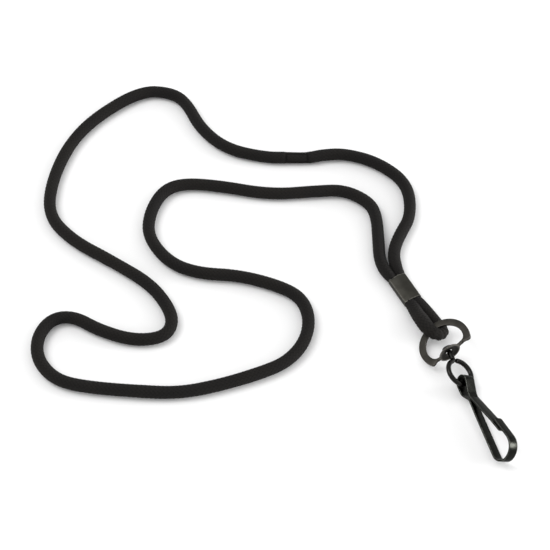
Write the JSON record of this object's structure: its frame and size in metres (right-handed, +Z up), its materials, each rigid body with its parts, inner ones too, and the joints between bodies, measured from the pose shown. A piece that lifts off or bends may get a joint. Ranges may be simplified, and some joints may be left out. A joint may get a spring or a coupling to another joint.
{
  "type": "lanyard badge holder",
  "caption": "Round braided-cord neck lanyard with a metal crimp, a swivelling D-frame, a wire ring and a spring-gated strip hook for a badge.",
  "frame": {"origin": "on the surface that the lanyard lies on, below the middle of the box of the crimp, bight, frame, ring and hook", "axes": "+Y along the fittings from the hook towards the neck loop, +X to the right across the hook, +Z up"},
  "size_m": [0.173, 0.2316, 0.0115],
  "materials": {
    "cord": "matt braid",
    "crimp_metal": "dark satin",
    "frame_metal": "dark satin",
    "hook_metal": "glossy black"
  },
  "bodies": {
    "cord": {"neck_cord": "cord", "cord_bight": "cord", "crimp_sleeve": "crimp_metal"},
    "frame": {"swivel_frame": "frame_metal"},
    "eye": {"swivel_eye": "hook_metal"},
    "hook": {"hook": "hook_metal"},
    "gate": {"hook_gate": "hook_metal"}
  },
  "joints": [
    {"name": "frame_rock", "type": "hinge", "parent": "cord", "child": "frame", "pos_m": [0.00043, 0.01708, 0.00461], "axis": [0.9123, 0.0333, 0.4082], "range_deg": [-15, 45]},
    {"name": "eye_spin", "type": "hinge", "parent": "frame", "child": "eye", "pos_m": [-0.00085, 0.00386, 0.00684], "axis": [-0.0598, -0.9781, -0.1994], "continuous": true},
    {"name": "hook_swing", "type": "hinge", "parent": "eye", "child": "hook", "pos_m": [-0.00173, -0.01062, 0.00389], "axis": [-0.8021, 0.1102, 0.587], "range_deg": [-45, 45]},
    {"name": "gate_flex", "type": "hinge", "parent": "hook", "child": "gate", "pos_m": [-0.00237, -0.017, 0.00439], "axis": [0.8021, -0.1102, -0.587], "range_deg": [0, 14], "stiffness_Nm_per_rad": 0.02}
  ]
}
